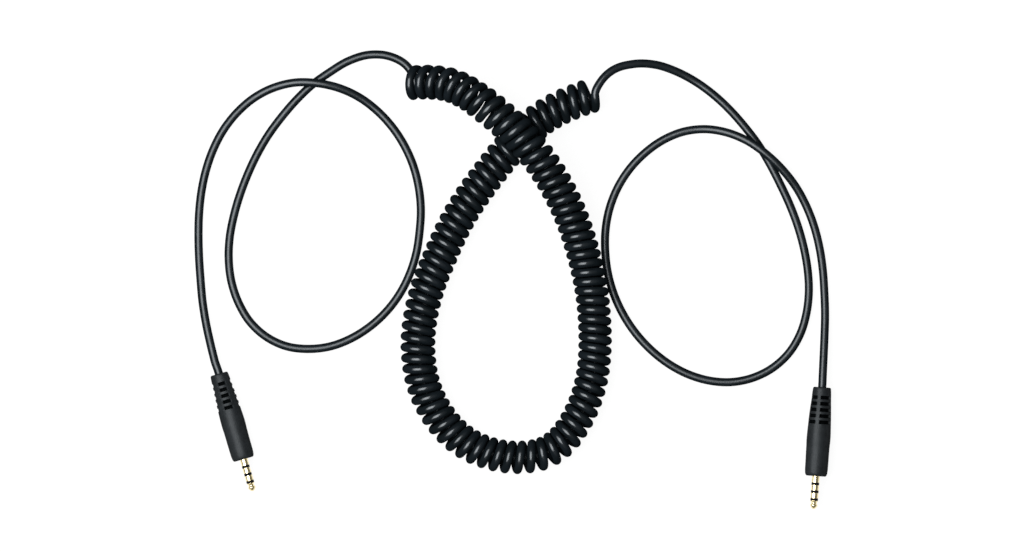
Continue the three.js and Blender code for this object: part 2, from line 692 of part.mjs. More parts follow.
// ---- plugs ----------------------------------------------------------------------------
function makePlug(side) {
  const { dir, roll } = PLUGS[side];
  const plug = new THREE.Group();
  const addPart = (name, geometry, material) =>
    add(plug, side + "_" + name, geometry, material);
  addShaft(addPart);
  addWiring(addPart);
  addPart("inner_mould", innerMould(), NATURAL);
  addPart("handle", handle(), RUBBER);
  addPart("strain_relief", strainRelief(), RUBBER);

  const localAxis = vec(0, 1, 0);
  const rollAngle = THREE.MathUtils.degToRad(roll);
  plug.quaternion
    .setFromUnitVectors(localAxis, vec(dir[0], dir[1], 0).normalize())
    .multiply(new THREE.Quaternion().setFromAxisAngle(localAxis, rollAngle));
  plug.position.copy(plugPoint(side, HANDLE_L));
  return plug;
}

for (const side of ["left", "right"]) cable.add(makePlug(side));

export default cable;
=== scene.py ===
# A coiled cable with a slim four-contact plug on each end, lying on a floor at z = 0.
# The coiled part forms one loop near the origin that crosses over itself. A plain lead runs
# from each of its ends, left (-X) and right (+X), round a loop of its own to a plug whose
# tip points roughly towards -Y. Lengths are in millimetres until they reach Blender.
import math

import bpy
import numpy as np
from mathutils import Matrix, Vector


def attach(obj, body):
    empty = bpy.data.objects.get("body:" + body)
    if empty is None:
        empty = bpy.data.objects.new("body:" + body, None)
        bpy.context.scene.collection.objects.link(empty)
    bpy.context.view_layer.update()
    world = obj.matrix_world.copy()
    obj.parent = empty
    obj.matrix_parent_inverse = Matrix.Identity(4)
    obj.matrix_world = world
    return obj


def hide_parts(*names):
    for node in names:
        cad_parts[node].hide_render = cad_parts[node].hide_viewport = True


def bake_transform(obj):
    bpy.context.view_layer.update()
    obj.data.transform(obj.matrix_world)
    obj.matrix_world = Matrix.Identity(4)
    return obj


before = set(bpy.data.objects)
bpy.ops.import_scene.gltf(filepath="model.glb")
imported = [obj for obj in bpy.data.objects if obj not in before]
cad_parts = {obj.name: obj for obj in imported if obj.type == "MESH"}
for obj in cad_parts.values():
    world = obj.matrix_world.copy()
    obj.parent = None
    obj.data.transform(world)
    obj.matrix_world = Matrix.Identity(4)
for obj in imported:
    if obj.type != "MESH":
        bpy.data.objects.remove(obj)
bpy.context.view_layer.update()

MM = 0.001

# ---- dimensions --------------------------------------------------------------------------
CORD_R = 1.9
CORD_SIDES = 20
FULLER = 0.2  # added to the cord's radius where the turns climb over the crossing
COIL_OD = 16.3  # where it is widest
CROSS_GAP = 0.35  # left between two cords or coils that cross
COIL_CREST = 0.6  # share of the climb that rounds off into the crest
COIL_FALL = 90  # length of the coil's descent after the crossing
COIL_CROSSING = 58.2  # distance along the coil's axis
LEAD_RISE = 35  # half-length of the arch where a lead crosses itself
LEAD_OVER = 2 * CORD_R + CROSS_GAP
DROP_START = 7  # the right lead comes down from the top of the coil
DROP_LENGTH = 56
BEND_HALF = 24  # half-length of the stretch where a lead turns into its tail
LEAD_END = 2.5  # a lead's own line is followed to this far from its end

SHAFT_R = 1.75
SHAFT_L = 15.0
BANDS = [3.5, 7.1, 10.65]  # centres of the insulating bands, from the handle's front
BAND_HALF = 1.1 / 2
HANDLE_L = 40.5
PLUG_Z = 5.5
CORD_END = 9.3  # where the cord stops inside the strain relief, from the plug's rear

# Spacing of the cord's rings.
PER_TURN = 36
LEAD_STEP = 1.6
PLUG_STEP = 1.2
EXIT_STEP = 0.7

# The coil's axis seen from above: [x, y] at even distances.
COIL_STEP = 9.0727
COIL_LINE = [
    [-47.23, 89.67], [-38.15, 90], [-29.14, 88.83], [-20.83, 85.16], [-13.37, 79.97], [-6.27, 74.31],
    [0.49, 68.23], [6.73, 61.62], [12.35, 54.48], [17.36, 46.91], [21.81, 39], [25.67, 30.77],
    [28.9, 22.29], [31.55, 13.61], [33.79, 4.81], [35.56, -4.08], [36.65, -13.1], [37.22, -22.16],
    [37.24, -31.24], [36.51, -40.29], [34.69, -49.21], [31.71, -57.81], [27.52, -65.91], [22.02, -73.23],
    [14.45, -78.43], [5.47, -80.39], [-3.68, -80.18], [-12.59, -78.09], [-20.9, -74.28], [-28.09, -68.63],
    [-33.87, -61.56], [-38.37, -53.61], [-41.41, -45.01], [-42.9, -36.02], [-43.2, -26.92], [-42.28, -17.87],
    [-40.41, -8.96], [-37.76, -0.26], [-34.29, 8.12], [-30.67, 16.44], [-26.74, 24.63], [-22.27, 32.53],
    [-17.22, 40.08], [-11.81, 47.36], [-6.25, 54.52], [-0.35, 61.42], [6.06, 67.8], [13.01, 73.53],
    [20.78, 78.07], [29.1, 81.65], [37.65, 84.7],
]
# [turn number, distance along the coil's axis]; a whole number is the top of a turn.
TURN_STATIONS = np.array([
    [-0.5, 0.6], [0, 2.5], [0.5, 4.8], [1, 7.2], [2, 11.95], [4, 21.49],
    [6, 30.35], [7, 34.8], [8, 39.9], [9, 45.2], [10, 50.1], [11, 54.9],
    [12, 59.5], [13, 64.5], [14, 69.71], [16, 79.45], [18, 88.78], [20, 97.9],
    [22, 106.85], [24, 115.65], [26, 124.08], [28, 132.62], [30, 141.2], [32, 149.95],
    [34, 158.52], [36, 167.29], [38, 176.05], [40, 185.22], [42, 194.57], [44, 203.97],
    [46, 213.63], [48, 223.94], [50, 234.14], [52, 243.77], [54, 253.29], [56, 262.68],
    [58, 272.17], [60, 281.38], [62, 290.32], [64, 299.39], [66, 308.55], [68, 317.71],
    [70, 327.14], [72, 336.23], [74, 344.98], [76, 353.88], [78, 363.09], [80, 372.14],
    [82, 381.24], [84, 390.38], [86, 399.84], [88, 409.25], [90, 418.63], [92, 428.05],
    [94, 437.73], [96, 447.9], [96.5, 449.6], [96.75, 451], [97, 453.2],
])
FIRST_TURN, LAST_TURN = -0.5, 97
# [distance along the coil's axis, outside diameter]
COIL_SIZES = np.array([
    [0, 15.9], [30, 16.2], [60, 16.3], [95, 16], [150, 15.4], [175, 15.3],
    [240, 15.3], [270, 15.8], [320, 16.1], [390, 16.1], [430, 16.3], [456, 16.3],
])
# [distance along the axis, share of its slope that the turns lean by]
COIL_LEAN = np.array([
    [0, 1.02], [4, 1.1], [8, 1.25], [10, 1.2], [13, 1.05], [22, 1.05],
    [28, 0.98], [36, 0.7], [46, 0.4], [60, 0], [456, 0],
])
# Centre lines of the leads from the coil to the plug: [x, y] at even distances.
LEFT_LINE = [
    [-46.9, 96.04], [-55.22, 101.52], [-65.17, 102.47], [-74.78, 99.64], [-83.42, 94.47], [-91.59, 88.59],
    [-98.83, 81.6], [-105.38, 73.96], [-111.34, 65.84], [-116.4, 57.14], [-120.67, 48.02], [-124.23, 38.6],
    [-127.01, 28.92], [-128.85, 19.03], [-129.23, 8.97], [-127.95, -1], [-124.68, -10.51], [-119.47, -19.1],
    [-112.03, -25.84], [-102.93, -30.06], [-92.97, -31.25], [-83, -30.07], [-73.6, -26.48], [-65.1, -21.12],
    [-57.67, -14.33], [-51.59, -6.33], [-47.04, 2.64], [-44, 12.23], [-42.49, 22.19], [-41.92, 32.24],
    [-42.9, 42.25], [-45.37, 52], [-49.44, 61.2], [-54.95, 69.62], [-61.8, 76.99], [-69.83, 83.05],
    [-78.94, 87.28], [-88.75, 89.52], [-98.78, 89.85], [-108.57, 87.57], [-117.52, 83.01], [-125.17, 76.49],
    [-131.44, 68.63], [-136.16, 59.74], [-139.51, 50.25], [-141.63, 40.41], [-142.72, 30.4], [-142.99, 20.33],
    [-142.72, 10.27], [-142.05, 0.22], [-141.14, -9.81], [-139.55, -19.76], [-137.4, -29.6], [-134.97, -39.37],
]
RIGHT_LINE = [
    [37.3, 77.7], [38.4, 87.8], [45.15, 95.35], [55.15, 98.32], [65.17, 97.84], [74.71, 94.61],
    [83.57, 89.81], [91.67, 83.81], [99, 76.9], [105.63, 69.3], [111.7, 61.25], [116.85, 52.59],
    [121.45, 43.61], [125.68, 34.45], [129.27, 25.03], [132.01, 15.33], [133.82, 5.41], [134.45, -4.64],
    [133.43, -14.67], [130.59, -24.32], [125.46, -32.97], [118.09, -39.81], [109.11, -44.33], [99.25, -46.32],
    [89.22, -45.66], [79.57, -42.77], [70.7, -38.02], [62.78, -31.78], [55.94, -24.39], [50.31, -16.03],
    [46.02, -6.91], [43.19, 2.75], [41.91, 12.75], [42.03, 22.82], [43.89, 32.72], [47.58, 42.09],
    [53, 50.58], [59.97, 57.85], [68.17, 63.68], [77.48, 67.5], [87.46, 68.64], [97.4, 67.05],
    [106.69, 63.2], [114.94, 57.42], [122.25, 50.48], [128.46, 42.55], [133.28, 33.7], [136.89, 24.29],
    [139.34, 14.51], [140.8, 4.53], [141.49, -5.53], [141.81, -15.61], [141.55, -25.69], [141.11, -35.76],
    [140.64, -45.84],
]
# Distances along each lead: where it crosses itself, where it leaves the coil, where it
# turns into its tail, and where it starts to rise to the height of the plug.
LEADS = {
    "left": {
        "line": LEFT_LINE, "length": 534.6, "crossing": 374.6, "exit": 5.5, "tail": 411, "rise": 492,
    },
    "right": {
        "line": RIGHT_LINE, "length": 545.4, "crossing": 432.8, "exit": 16.4, "tail": 470, "rise": 503,
    },
}
# The centre of each plug's rear end, its direction towards the tip, and its roll in degrees.
PLUGS = {
    "left": {"rear": [-133.7, -42.49], "dir": [0.2781, -0.9606], "roll": 0},
    "right": {"rear": [140.5, -48.65], "dir": [-0.0706, -0.9975], "roll": -31},
}
# The cord's centre between the left lead and the start of the coil.
LEFT_EXIT_POINTS = np.array(
    [[-48.75, 97.85, CORD_R], [-46.95, 95.75, CORD_R], [-45.45, 93.05, CORD_R + 0.15]]
)
# Turns round which the coil's ends are cut into pieces, from the loop outwards, and the turns either side.
COIL_ENDS = {
    "left": {"cuts": [10.25, 7.25, 4.25, 1.25], "half": 1.5},
    "right": {"cuts": [92, 94, 96], "half": 1.0},
}


# ---- centre lines ------------------------------------------------------------------------
def spline(rows, position):
    """Uniform Catmull-Rom through rows, at an array of row numbers."""
    rows = np.asarray(rows, float)
    padded = np.vstack([2 * rows[0] - rows[1], rows, 2 * rows[-1] - rows[-2]])
    position = np.atleast_1d(np.asarray(position, float))
    i = np.clip(np.floor(position).astype(int), 0, len(rows) - 2)
    part = (position - i)[:, None]
    before, start, end, after = (padded[i + k] for k in range(4))
    return 0.5 * (
        2 * start
        + (end - before) * part
        + (2 * before - 5 * start + 4 * end - after) * part * part
        + (3 * start - before - 3 * end + after) * part ** 3
    )


def smooth(value):
    """Eases from 0 at 0 to 1 at 1."""
    value = np.clip(value, 0, 1)
    return value * value * (3 - 2 * value)


def hump(value):
    """1 at 0, falling to 0 at -1 and 1."""
    return np.where(np.abs(value) < 1, np.cos(np.pi / 2 * np.clip(value, -1, 1)) ** 2, 0.0)


def climb(value):
    """1 at 0, rounding off over the crest and then falling straight to 0 at 1."""
    slope = 1 / (1 - COIL_CREST / 2)
    return 1 - np.where(
        value < COIL_CREST,
        slope * value * value / (2 * COIL_CREST),
        slope * (value - COIL_CREST / 2),
    )


def unit(vectors):
    return vectors / np.maximum(np.linalg.norm(vectors, axis=-1, keepdims=True), 1e-12)


def coil_radius(along):
    """Radius of the helix that the cord's centre follows."""
    return (np.interp(along, COIL_SIZES[:, 0], COIL_SIZES[:, 1]) - 2 * CORD_R) / 2


def axis_point(along):
    along = np.atleast_1d(np.asarray(along, float))
    height = coil_radius(along) + CORD_R + (COIL_OD + CROSS_GAP) * np.where(
        along < COIL_CROSSING,
        climb(1 - along / COIL_CROSSING),
        hump((along - COIL_CROSSING) / COIL_FALL),
    )
    return np.column_stack([spline(COIL_LINE, along / COIL_STEP), height])


def helix(turn):
    """The coil's cord centre at an array of turn numbers; a whole number is the top of a turn."""
    turn = np.atleast_1d(np.asarray(turn, float))
    along = np.interp(turn, TURN_STATIONS[:, 0], TURN_STATIONS[:, 1])
    forward = axis_point(along + 0.5) - axis_point(along - 0.5)
    forward[:, 2] *= np.interp(along, COIL_LEAN[:, 0], COIL_LEAN[:, 1])
    forward = unit(forward)
    side = unit(np.cross([0.0, 0.0, 1.0], forward))
    up = np.cross(forward, side)
    angle = turn * 2 * np.pi
    out = up * np.cos(angle)[:, None] + side * np.sin(angle)[:, None]
    return axis_point(along) + coil_radius(along)[:, None] * out


def lead_point(side, along):
    """The centre of a lead at distances from the coil."""
    lead = LEADS[side]
    line, length = lead["line"], lead["length"]
    along = np.atleast_1d(np.asarray(along, float))
    drop = 0.0
    if side == "right":
        coil_top = 2 * coil_radius(TURN_STATIONS[-1, 1])
        drop = coil_top * (1 - smooth((along - DROP_START) / DROP_LENGTH))
    height = (
        CORD_R
        + LEAD_OVER * hump((along - lead["crossing"]) / LEAD_RISE)
        + drop
        + (PLUG_Z - CORD_R) * smooth((along - lead["rise"]) / (length - lead["rise"]))
    )
    step = length / (len(line) - 1)
    return np.column_stack([spline(line, along / step), height])


def plug_point(side, along):
    """A point on a plug's axis, at a distance from its rear."""
    (rear_x, rear_y), (dir_x, dir_y) = PLUGS[side]["rear"], PLUGS[side]["dir"]
    return np.array([rear_x + dir_x * along, rear_y + dir_y * along, PLUG_Z])


def through(points, keep, step=EXIT_STEP):
    """A natural cubic by chord length through points, sampled from point keep[0] to keep[1]."""
    points = np.vstack(points)
    spans = np.linalg.norm(np.diff(points, axis=0), axis=1)
    marks = np.concatenate([[0], np.cumsum(spans)])
    count = len(points)
    system = np.zeros((count, count))
    target = np.zeros((count, 3))
    system[0, 0] = system[-1, -1] = 1
    for i in range(1, count - 1):
        before, after = spans[i - 1], spans[i]
        system[i, i - 1], system[i, i], system[i, i + 1] = before, 2 * (before + after), after
        target[i] = 6 * (
            (points[i + 1] - points[i]) / after - (points[i] - points[i - 1]) / before
        )
    curve = np.linalg.solve(system, target)  # second derivatives at the points
    start, end = marks[keep[0]], marks[keep[1]]
    samples = np.linspace(start, end, max(2, int(round((end - start) / step)) + 1))
    i = np.clip(np.searchsorted(marks, samples, side="right") - 1, 0, count - 2)
    span = spans[i][:, None]
    done = (samples - marks[i])[:, None]
    left = span - done
    return (
        curve[i] * left ** 3 / (6 * span)
        + curve[i + 1] * done ** 3 / (6 * span)
        + (points[i] / span - curve[i] * span / 6) * left
        + (points[i + 1] / span - curve[i + 1] * span / 6) * done
    )


# ---- the whole cord as one line of rings, from the left plug to the right plug -----------
rings, key = [], {}


def put(points, name=None):
    """Adds rings, leaving out a first one that repeats the last; name marks the last added."""
    if rings and np.linalg.norm(points[0] - rings[-1]) < 1e-3:
        points = points[1:]
    rings.extend(list(points))
    if name:
        key[name] = len(rings) - 1


def put_lead(side, start, end, name=None):
    count = max(2, int(round(abs(end - start) / LEAD_STEP)) + 1)
    put(lead_point(side, np.linspace(start, end, count)), name)


def plug_entry(side):
    """Points from a lead into its plug."""
    length = LEADS[side]["length"]
    lead = [lead_point(side, length - back) for back in (14, 8, LEAD_END)]
    return lead + [plug_point(side, along) for along in (-0.9, 0.3, 5.0, CORD_END)]


left_end, left_bend = LEADS["left"]["length"] - LEAD_END, LEADS["left"]["tail"]
put(through(plug_entry("left")[::-1], (0, 4), PLUG_STEP))
put_lead("left", left_end, left_bend + BEND_HALF, "left_tail_far")
put_lead("left", left_bend + BEND_HALF, left_bend - BEND_HALF, "left_tail_near")
put_lead("left", left_bend - BEND_HALF, 30, "left_exit_far")
put_lead("left", 30, 14)
put(
    through(
        [lead_point("left", along) for along in (30, 22, 14, 9)]
        + [LEFT_EXIT_POINTS]
        + [helix(turn) for turn in (-0.5, -0.375, -0.25, -0.125, 0.0)],
        (2, 7),
    ),
    "coil_start",
)
put(helix(np.arange(FIRST_TURN * PER_TURN + 1, LAST_TURN * PER_TURN + 1) / PER_TURN), "coil_end")
right_exit, right_bend = LEADS["right"]["exit"], LEADS["right"]["tail"]
put(
    through(
        [helix(turn) for turn in (96.5, 96.625, 96.75, 96.875, 97.0)]
        + [lead_point("right", along) for along in (11.2, right_exit, 22, 28, 34)],
        (4, 8),
    )
)
put_lead("right", 28, 44, "right_exit_far")
put_lead("right", 44, right_bend - BEND_HALF, "right_tail_near")
put_lead("right", right_bend - BEND_HALF, right_bend + BEND_HALF, "right_tail_far")
put_lead("right", right_bend + BEND_HALF, LEADS["right"]["length"] - LEAD_END)
put(through(plug_entry("right"), (2, 6), PLUG_STEP))

RINGS = np.array(rings)
LAST_RING = len(RINGS) - 1
COIL_START, COIL_END = key["coil_start"], key["coil_end"]
TANGENT = unit(np.vstack([RINGS[1] - RINGS[0], RINGS[2:] - RINGS[:-2], RINGS[-1] - RINGS[-2]]))
ALONG = np.concatenate([[0], np.cumsum(np.linalg.norm(np.diff(RINGS, axis=0), axis=1))])


def carried_normals():
    """A normal for each ring, carried along the cord without twisting."""
    normals = np.zeros_like(RINGS)
    normal = np.array([0.0, 0.0, 1.0])
    for i, tangent in enumerate(TANGENT):
        normal = normal - tangent * (normal @ tangent)
        normal = normal / np.linalg.norm(normal)
        normals[i] = normal
    return normals


NORMAL = carried_normals()
BINORMAL = np.cross(TANGENT, NORMAL)
TURN = np.interp(np.arange(len(RINGS)), [COIL_START, COIL_END], [FIRST_TURN, LAST_TURN])

# 1 where the cord passes underneath in its turn, hidden between the turns above it; the jacket's highlights
# are cut there as painted shade.
UNDER_SHADE = smooth((-np.cos(2 * np.pi * TURN) + 0.25) / 0.5)
UNDER_SHADE[: COIL_START + PER_TURN // 4] = 0
UNDER_SHADE[COIL_END - PER_TURN // 2 :] = 0
RADIUS = CORD_R + FULLER * smooth((TURN - 6.3) / 0.9) * smooth((12.2 - TURN) / 0.9)


def ring_at_turn(turn):
    """Ring number of a turn number of the coil."""
    return COIL_START + int(round((turn - FIRST_TURN) * PER_TURN))


def nearest(point, low, high):
    """Ring number between low and high closest to a point."""
    distances = np.linalg.norm(RINGS[low : high + 1] - np.asarray(point).ravel(), axis=1)
    return low + int(np.argmin(distances))


# ---- mesh helpers ------------------------------------------------------------------------
def point_attribute(mesh, name, kind, field, values):
    attribute = mesh.attributes.new(name, kind, "POINT")
    attribute.data.foreach_set(field, np.asarray(values, np.float32).ravel())


def make(name, verts, faces, material, tex, sharp):
    """A smooth-shaded object from millimetres; edges past the sharp angle stay hard."""
    mesh = bpy.data.meshes.new(name)
    mesh.from_pydata([tuple(vert) for vert in np.asarray(verts) * MM], [], faces)
    mesh.validate(clean_customdata=False)
    mesh.polygons.foreach_set("use_smooth", [True] * len(mesh.polygons))
    mesh.set_sharp_from_angle(angle=math.radians(sharp))
    point_attribute(mesh, "tex", "FLOAT_VECTOR", "vector", tex)
    mesh.materials.append(material)
    mesh.update()
    ob = bpy.data.objects.new(name, mesh)
    bpy.context.scene.collection.objects.link(ob)
    return ob


def tube_faces(loops, size, wrap=False):
    """Quads between successive loops of size vertices; wrap joins the last loop to the first."""
    faces = []
    for i in range(loops if wrap else loops - 1):
        here, there = i * size, (i + 1) % loops * size
        for j in range(size):
            k = (j + 1) % size
            faces.append((here + j, here + k, there + k, there + j))
    return faces


def outward(verts, faces):
    """The faces, all turned round if they enclose a negative volume."""
    volume = 0.0
    for face in faces:
        for i in range(1, len(face) - 1):
            volume += np.dot(verts[face[0]], np.cross(verts[face[i]], verts[face[i + 1]]))
    return [tuple(reversed(face)) for face in faces] if volume < 0 else faces


def cord(name, start, end):
    """The cord between two ring numbers, with closed ends."""
    i = np.arange(start, end + 1)
    count, sides = len(i), CORD_SIDES
    angles = np.arange(sides) * 2 * np.pi / sides
    radius = RADIUS[i][:, None, None]
    verts = (
        RINGS[i][:, None, :]
        + radius * np.cos(angles)[None, :, None] * NORMAL[i][:, None, :]
        + radius * np.sin(angles)[None, :, None] * BINORMAL[i][:, None, :]
    ).reshape(-1, 3)
    tex = np.zeros((count, sides, 3))
    tex[:, :, 0] = CORD_R * np.cos(angles)
    tex[:, :, 1] = CORD_R * np.sin(angles)
    tex[:, :, 2] = ALONG[i][:, None]
    faces = tube_faces(count, sides)
    faces.append(tuple(range(sides - 1, -1, -1)))
    faces.append(tuple((count - 1) * sides + j for j in range(sides)))
    ob = make(name, verts, faces, JACKET, tex, sharp=60)
    # the under mask, carried to the jacket's material for its painted shade
    point_attribute(ob.data, "under_shade", "FLOAT", "value", np.repeat(UNDER_SHADE[i], sides))
    ob["ring_a"], ob["ring_b"], ob["sides"] = int(start), int(end), sides
    return ob


def bend(ob):
    """Bakes ob's placement into its mesh."""
    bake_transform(ob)


def flex_with_plug(ob):
    """Bakes ob's placement into its mesh."""
    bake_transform(ob)


LATHE_SIDES = 56


def lathe(name, profile, place, material, sharp):
    """A turned piece: profile rows are [radius, distance]; a row on the axis is one point."""
    angles = np.arange(LATHE_SIDES) * 2 * np.pi / LATHE_SIDES
    verts, loops = [], []
    for radius, y in profile:
        if radius < 1e-9:
            loops.append([len(verts)])
            verts.append((0.0, y, 0.0))
        else:
            loops.append(list(range(len(verts), len(verts) + LATHE_SIDES)))
            verts.extend([(radius * math.sin(a), y, radius * math.cos(a)) for a in angles])
    if len(loops[0]) > 1:
        loops.append(loops[0])  # a profile that is clear of the axis closes on itself
    faces = []
    for here, there in zip(loops, loops[1:]):
        for j in range(LATHE_SIDES):
            k = (j + 1) % LATHE_SIDES
            if len(here) == 1:
                faces.append((here[0], there[j], there[k]))
            elif len(there) == 1:
                faces.append((here[j], there[0], here[k]))
            else:
                faces.append((here[j], there[j], there[k], here[k]))
    verts = np.array(verts)
    return make(name, place(verts), outward(verts, faces), material, verts, sharp)


# ---- materials ---------------------------------------------------------------------------
class Graph:
    """A small helper for building one material's nodes."""

    def __init__(self, name):
        self.mat = bpy.data.materials.new(name)
        self.mat.use_nodes = True
        self.tree = self.mat.node_tree
        self.tree.nodes.clear()
        self.out = self.add("ShaderNodeOutputMaterial")
        self.bsdf = self.add("ShaderNodeBsdfPrincipled")
        self.link(self.bsdf.outputs[0], self.out.inputs["Surface"])

    def add(self, kind, **props):
        node = self.tree.nodes.new(kind)
        for prop, value in props.items():
            setattr(node, prop, value)
        return node

    def link(self, source, target):
        self.tree.links.new(source, target)

    def attribute(self, name, output="Fac"):
        node = self.add(
            "ShaderNodeAttribute", attribute_type="GEOMETRY", attribute_name=name
        )
        return node.outputs[output]

    def tex(self):
        """The piece's own coordinates in millimetres."""
        return self.attribute("tex", "Vector")

    def local(self):
        """Object coordinates in millimetres, for the pieces that keep their CAD shape."""
        coords = self.add("ShaderNodeTexCoord")
        node = self.add("ShaderNodeVectorMath", operation="SCALE")
        node.inputs["Scale"].default_value = 1 / MM
        self.link(coords.outputs["Object"], node.inputs[0])
        return node.outputs[0]

    def stretch(self, coords, factors):
        node = self.add("ShaderNodeVectorMath", operation="MULTIPLY")
        node.inputs[1].default_value = factors
        self.link(coords, node.inputs[0])
        return node.outputs[0]

    def noise(self, coords, scale, detail=3.0, rough=0.55):
        node = self.add("ShaderNodeTexNoise")
        node.inputs["Scale"].default_value = scale
        node.inputs["Detail"].default_value = detail
        node.inputs["Roughness"].default_value = rough
        self.link(coords, node.inputs["Vector"])
        return node.outputs["Fac"]

    def ramp(self, value, span=(0.3, 0.7), to=(0, 1)):
        """Maps value from span to the range to, clamped."""
        node = self.add("ShaderNodeMapRange")
        for socket, number in zip(("From Min", "From Max", "To Min", "To Max"), (*span, *to)):
            node.inputs[socket].default_value = number
        self.link(value, node.inputs["Value"])
        return node.outputs["Result"]

    def mix(self, share, dark, light):
        node = self.add("ShaderNodeMix", data_type="RGBA")
        node.inputs[6].default_value = (*dark, 1)
        node.inputs[7].default_value = (*light, 1)
        self.link(share, node.inputs[0])
        return node.outputs[2]

    def math(self, operation, first, second):
        node = self.add("ShaderNodeMath", operation=operation)
        self.link(first, node.inputs[0])
        self.link(second, node.inputs[1])
        return node.outputs[0]

    def plus(self, first, second):
        return self.math("ADD", first, second)

    def times(self, first, second):
        return self.math("MULTIPLY", first, second)

    def facing(self, front, edge, span):
        """front where the surface faces the eye, edge where it turns away."""
        node = self.add("ShaderNodeLayerWeight")
        node.inputs["Blend"].default_value = 0.5
        return self.ramp(node.outputs["Facing"], span=span, to=(front, edge))

    def bumps(self, *layers):
        """Stacks (height, depth in mm, strength) layers and links them to the shader."""
        normal = None
        for height, depth, strength in layers:
            node = self.add("ShaderNodeBump")
            node.inputs["Strength"].default_value = strength
            node.inputs["Distance"].default_value = depth * MM
            self.link(height, node.inputs["Height"])
            if normal is not None:
                self.link(normal, node.inputs["Normal"])
            normal = node.outputs["Normal"]
        self.link(normal, self.bsdf.inputs["Normal"])

    def set(self, **values):
        """Sets or links the shader's inputs."""
        for name, value in values.items():
            socket = self.bsdf.inputs[name.replace("_", " ")]
            if hasattr(value, "is_output"):
                self.link(value, socket)
            elif isinstance(value, tuple):
                socket.default_value = (*value, 1)
            else:
                socket.default_value = value


COOL_TINT = (0.90, 0.96, 1.0)  # of the highlights on the jacket and the moulding


def jacket_material():
    g = Graph("cord_jacket")
    tex = g.tex()
    split = g.add("ShaderNodeSeparateXYZ")
    g.link(tex, split.inputs[0])
    along = split.outputs["Z"]
    coil_from, coil_to = float(ALONG[COIL_START]), float(ALONG[COIL_END])
    coiled = g.times(  # 1 on the coil, fading to 0 along the leads
        g.ramp(along, span=(coil_from - 14, coil_from + 2), to=(0, 1)),
        g.ramp(along, span=(coil_to - 2, coil_to + 14), to=(1, 0)),
    )
    blotch = g.noise(tex, scale=0.16)
    mid = g.noise(tex, scale=1.3, detail=4, rough=0.6)
    fine = g.noise(tex, scale=9.0, rough=0.6)
    # lines drawn along the cord by the die
    lines = g.noise(g.stretch(tex, (3.2, 3.2, 0.05)), scale=1.0, rough=0.6)
    sheen = g.ramp(g.noise(tex, scale=0.35, detail=2), to=(-0.03, 0.03))
    g.set(
        Base_Color=g.mix(
            g.ramp(blotch, span=(0.35, 0.65)),
            dark=(0.0030, 0.0044, 0.0052),
            light=(0.0052, 0.0072, 0.0090),
        ),
        Roughness=g.plus(
            g.plus(g.ramp(coiled, span=(0, 1), to=(0.31, 0.22)), sheen),
            g.plus(g.ramp(mid, to=(-0.02, 0.05)), g.ramp(lines, to=(-0.02, 0.03))),
        ),
        Specular_IOR_Level=g.times(
            g.times(
                g.facing(front=0.51, edge=0.0, span=(0.02, 0.17)),
                g.ramp(coiled, span=(0, 1), to=(0.86, 1.0)),
            ),
            # painted shade: highlights cut to 12 % where the cord passes underneath in its turn
            g.ramp(g.attribute("under_shade"), span=(0, 1), to=(1.0, 0.12)),
        ),
        Specular_Tint=COOL_TINT,
    )
    g.bumps((fine, 0.006, 0.5), (lines, 0.012, 0.6), (mid, 0.02, 0.35))
    return g.mat


def moulding_material():
    g = Graph("handle_moulding")
    tex = g.tex()
    depth = g.attribute("depth")  # how deep in a slot the surface is, 0 to 1, used for painted shade in the slots
    blotch = g.noise(tex, scale=0.22)
    grain = g.noise(tex, scale=2.4, detail=4, rough=0.65)
    fine = g.noise(tex, scale=12.0, detail=2, rough=0.6)
    flow = g.noise(g.stretch(tex, (0.5, 0.12, 0.5)), scale=1.0, detail=2)
    tone = g.plus(
        g.plus(g.ramp(blotch, to=(0.1, 0.45)), g.ramp(grain, span=(0.35, 0.65), to=(0, 0.4))),
        g.ramp(fine, span=(0.35, 0.65), to=(0, 0.15)),
    )
    g.set(
        Base_Color=g.mix(
            # painted shade: the colour goes near black towards the slots' floors
            g.times(tone, g.ramp(depth, span=(0.05, 0.55), to=(1.0, 0.0))),
            dark=(0.0012, 0.0015, 0.0017),
            light=(0.0112, 0.0134, 0.0150),
        ),
        Roughness=g.plus(g.ramp(grain, to=(0.36, 0.54)), g.ramp(flow, to=(-0.04, 0.04))),
        Specular_IOR_Level=g.times(
            g.facing(front=0.18, edge=0.01, span=(0.05, 0.45)),
            # painted shade: the highlight fades out towards the slots' floors
            g.ramp(depth, span=(0.05, 0.5), to=(1.0, 0.0)),
        ),
        Specular_Tint=COOL_TINT,
    )
    g.bumps((fine, 0.02, 0.6), (grain, 0.09, 0.8))
    return g.mat


def gold_material():
    g = Graph("gold_plating")
    tex = g.tex()
    blotch = g.noise(tex, scale=0.6)
    # fine turning marks round the shaft
    marks = g.noise(g.stretch(tex, (0.25, 14.0, 0.25)), scale=1.0, detail=2)
    fine = g.noise(tex, scale=12.0)
    g.set(
        Base_Color=g.mix(g.ramp(blotch), dark=(0.88, 0.73, 0.38), light=(0.98, 0.87, 0.56)),
        Metallic=1.0,
        Roughness=g.plus(g.ramp(fine, to=(0.12, 0.22)), g.ramp(marks, to=(-0.02, 0.03))),
    )
    g.bumps((marks, 0.004, 0.6), (fine, 0.003, 0.4))
    return g.mat


def speckle(g, coords, dark, light, rough, grain, depth):
    """Blotched colour and a fine grain, shared by the plainer materials."""
    blotch = g.noise(coords, scale=0.7)
    fine = g.noise(coords, scale=grain)
    g.set(Base_Color=g.mix(g.ramp(blotch), dark, light), Roughness=g.ramp(fine, to=rough))
    g.bumps((fine, depth, 0.6))


